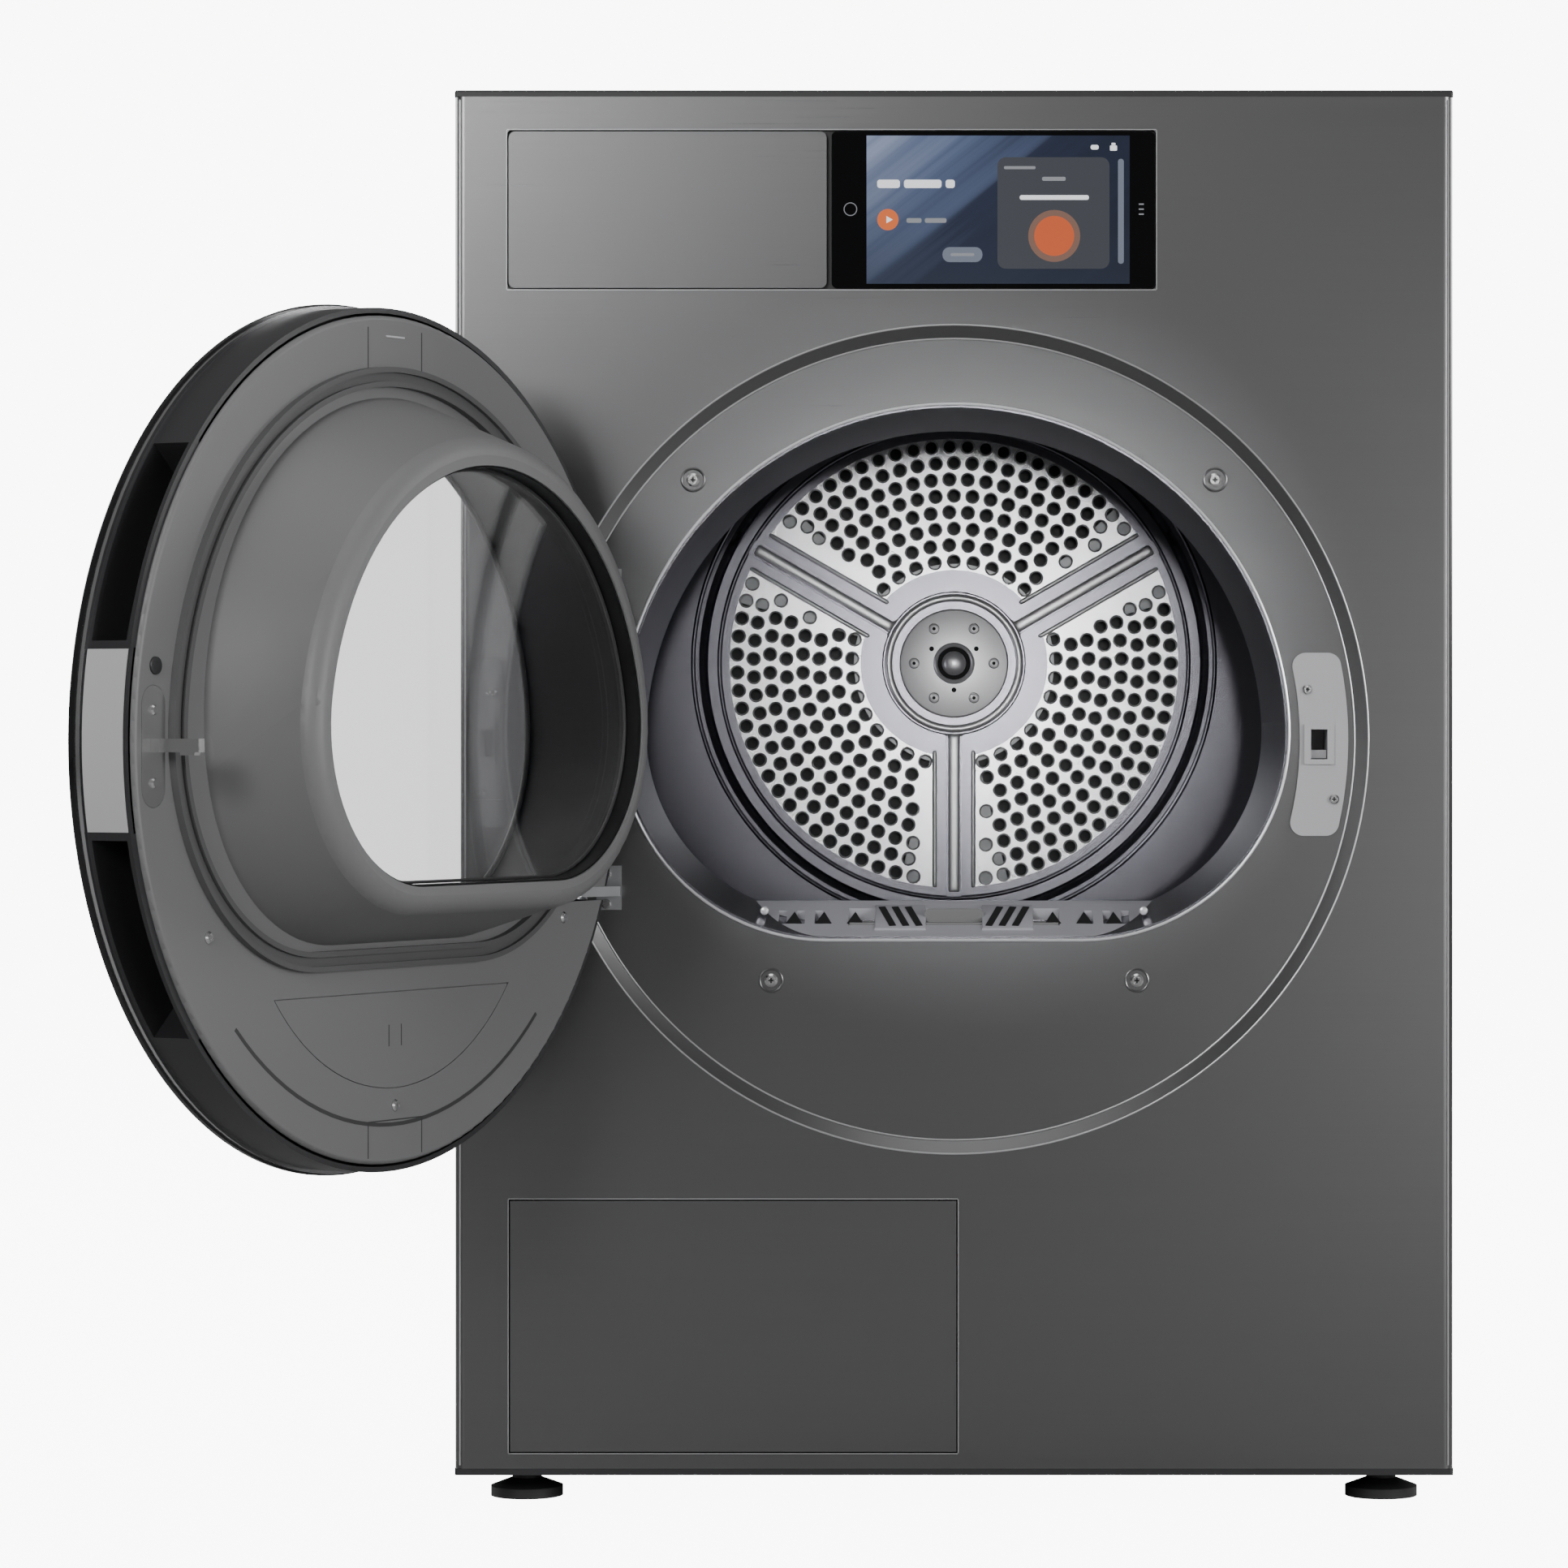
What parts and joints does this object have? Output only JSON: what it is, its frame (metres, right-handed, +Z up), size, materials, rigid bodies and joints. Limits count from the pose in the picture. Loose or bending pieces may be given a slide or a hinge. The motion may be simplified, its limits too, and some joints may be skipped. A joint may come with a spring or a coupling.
{
  "type": "clothes dryer",
  "caption": "Free-standing front-loading heat-pump clothes dryer with a round side-hinged door, D-shaped opening, turning drum, water-tank drawer and service flap.",
  "frame": {"origin": "on the floor, under the middle of the cabinet (width 600, depth 560 with the rear duct cover)", "axes": "+X to the right seen from the front, +Y to the back, +Z up; the front faces -Y"},
  "size_m": [0.76, 1.0043, 0.85],
  "materials": {
    "front_steel": "fine horizontal brushed, dark",
    "body_paint": "satin dark grey",
    "zinc_sheet": "galvanised, dull",
    "drum_steel": "polished stainless",
    "shaft_steel": "ground",
    "dark_plastic": "fine matt",
    "grey_plastic": "satin",
    "light_plastic": "satin",
    "tank_plastic": "frosted",
    "lever_plastic": "satin",
    "roller_plastic": "plain",
    "door_glass": "gloss black",
    "window_glass": "clear smoked",
    "panel_glass": "gloss black",
    "screen": "lit",
    "rim_metal": "satin silver",
    "rubber": "matt",
    "felt": "felt",
    "coil_fins": "thin fins",
    "black_metal": "gloss black",
    "motor_metal": "cast",
    "copper": "drawn tube",
    "pump_plastic": "plain",
    "circuit": "lacquered"
  },
  "bodies": {
    "cabinet": {"back_panel": "zinc_sheet", "base_tray": "dark_plastic", "compressor": "black_metal", "condensate_pump": "pump_plastic", "condenser": "coil_fins", "control_board": "circuit", "control_fascia": "dark_plastic", "display_glass": "panel_glass", "display_panel": "screen", "drive_belt": "rubber", "drive_motor": "motor_metal", "evaporator": "coil_fins", "front_bulkhead": "zinc_sheet", "front_felt_seal": "felt", "front_panel": "front_steel", "front_panel_screws": "shaft_steel", "heat_exchanger_cover": "grey_plastic", "hinge_brackets": "zinc_sheet", "left_side_panel": "body_paint", "levelling_feet": "rubber", "lint_filter_housing": "grey_plastic", "opening_collar": "drum_steel", "power_inlet": "dark_plastic", "rear_bulkhead": "zinc_sheet", "rear_duct_cover": "dark_plastic", "refrigerant_pipes": "copper", "right_side_panel": "body_paint", "shaft_bearing": "shaft_steel", "strike_plate": "light_plastic", "tank_housing": "dark_plastic", "top_cover": "body_paint"},
    "door": {"door_frame": "dark_plastic", "door_gasket": "rubber", "door_grip": "light_plastic", "door_hinge_arm": "zinc_sheet", "door_latch": "shaft_steel", "door_liner": "grey_plastic", "door_outer_glass": "door_glass", "door_rim": "rim_metal", "door_screws": "shaft_steel", "door_service_cap": "grey_plastic", "door_window": "window_glass"},
    "drum": {"drum_shell": "drum_steel", "drum_rear_plate": "drum_steel", "drum_grille": "drum_steel", "hub_plate": "drum_steel", "drum_shaft": "shaft_steel", "drum_lifters": "grey_plastic"},
    "tank_drawer": {"water_tank": "tank_plastic", "tank_front": "front_steel"},
    "flap": {"access_flap": "front_steel"},
    "lever_left": {"cover_lever_left": "lever_plastic"},
    "lever_right": {"cover_lever_right": "lever_plastic"},
    "filter": {"lint_filter": "grey_plastic"},
    "catch": {"strike_latch": "light_plastic"},
    "rotor": {"motor_pulley": "shaft_steel", "blower_wheel": "dark_plastic"},
    "idler": {"idler_wheel": "roller_plastic"},
    "left_roller": {"roller_left": "roller_plastic"},
    "right_roller": {"roller_right": "roller_plastic"}
  },
  "joints": [
    {"name": "door_hinge", "type": "hinge", "parent": "cabinet", "child": "door", "pos_m": [-0.225, -0.305, 0.46], "axis": [0, 0, -1], "range_deg": [-118.6, 41.4]},
    {"name": "drum_spin", "type": "hinge", "parent": "cabinet", "child": "drum", "pos_m": [0, 0, 0.512], "axis": [0, 1, 0], "continuous": true},
    {"name": "motor_spin", "type": "hinge", "parent": "cabinet", "child": "rotor", "pos_m": [0.175, 0, 0.14], "axis": [0, 1, 0], "continuous": true},
    {"name": "idler_spin", "type": "hinge", "parent": "cabinet", "child": "idler", "pos_m": [0.04, 0, 0.178], "axis": [0, 1, 0], "continuous": true},
    {"name": "left_roller_spin", "type": "hinge", "parent": "cabinet", "child": "left_roller", "pos_m": [-0.18239, -0.2, 0.26096], "axis": [0, 1, 0], "continuous": true},
    {"name": "right_roller_spin", "type": "hinge", "parent": "cabinet", "child": "right_roller", "pos_m": [0.18239, -0.2, 0.26096], "axis": [0, 1, 0], "continuous": true},
    {"name": "tank_slide", "type": "slide", "parent": "cabinet", "child": "tank_drawer", "axis": [0, -1, 0], "range_m": [0, 0.4]},
    {"name": "flap_hinge", "type": "hinge", "parent": "cabinet", "child": "flap", "pos_m": [-0.13, -0.275, 0.037], "axis": [1, 0, 0], "range_deg": [0, 90]},
    {"name": "left_lever_turn", "type": "hinge", "parent": "cabinet", "child": "lever_left", "pos_m": [-0.2294, -0.233, 0.1275], "axis": [0, -1, 0], "range_deg": [0, 90]},
    {"name": "right_lever_turn", "type": "hinge", "parent": "cabinet", "child": "lever_right", "pos_m": [-0.0378, -0.233, 0.1275], "axis": [0, 1, 0], "range_deg": [0, 90]},
    {"name": "filter_slide", "type": "slide", "parent": "cabinet", "child": "filter", "axis": [0, 0, 1], "range_m": [0, 0.12]},
    {"name": "catch_slide", "type": "slide", "parent": "cabinet", "child": "catch", "axis": [0, 0, -1], "range_m": [0, 0.003], "stiffness_N_per_m": 600, "springref_m": -0.001}
  ],
  "couplings": [
    {"joint": "motor_spin", "follows": "drum_spin", "ratio": 22.694},
    {"joint": "idler_spin", "follows": "drum_spin", "ratio": 18.273},
    {"joint": "left_roller_spin", "follows": "drum_spin", "ratio": -9.3333},
    {"joint": "right_roller_spin", "follows": "drum_spin", "ratio": -9.3333}
  ]
}
